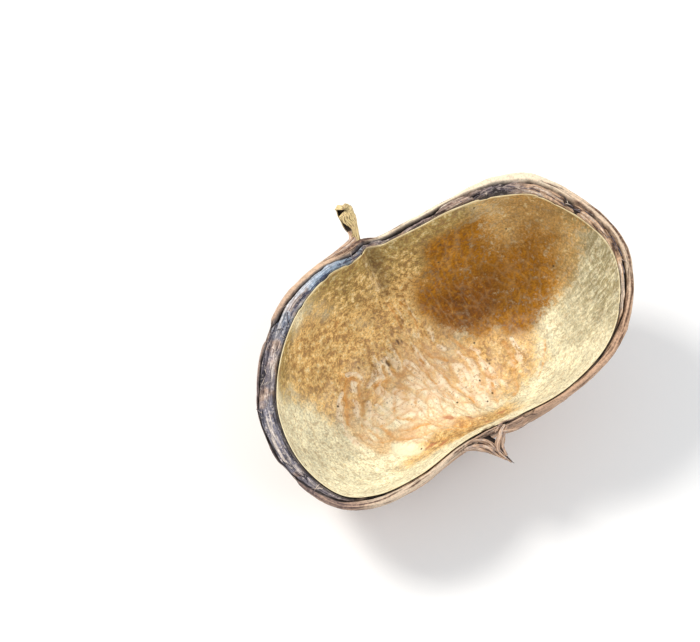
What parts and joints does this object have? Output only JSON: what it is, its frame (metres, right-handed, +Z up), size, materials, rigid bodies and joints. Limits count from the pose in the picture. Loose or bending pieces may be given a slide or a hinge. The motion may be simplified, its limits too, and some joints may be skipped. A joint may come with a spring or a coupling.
{
  "type": "sterculia pod",
  "caption": "Empty woody seed pod, split along its seam and dried open into a two-lobed bowl, with a layered rim, papery wrinkled lining, broken stalk and forked beak.",
  "frame": {"origin": "on the table, below the middle of the pod's box", "axes": "+X along the pod from the lower lobe to the higher lobe, +Y towards the stalk, -Y towards the beak, +Z up out of the open mouth"},
  "size_m": [0.1238, 0.0952, 0.0587],
  "materials": {
    "husk": "dry, matte woody skin with a rough fibrous rim",
    "lining": "papery, finely wrinkled, satin",
    "stalk": "dry, fibrous, matte"
  },
  "bodies": {
    "root": {"husk": "husk", "lining": "lining", "stalk": "stalk"}
  },
  "joints": []
}
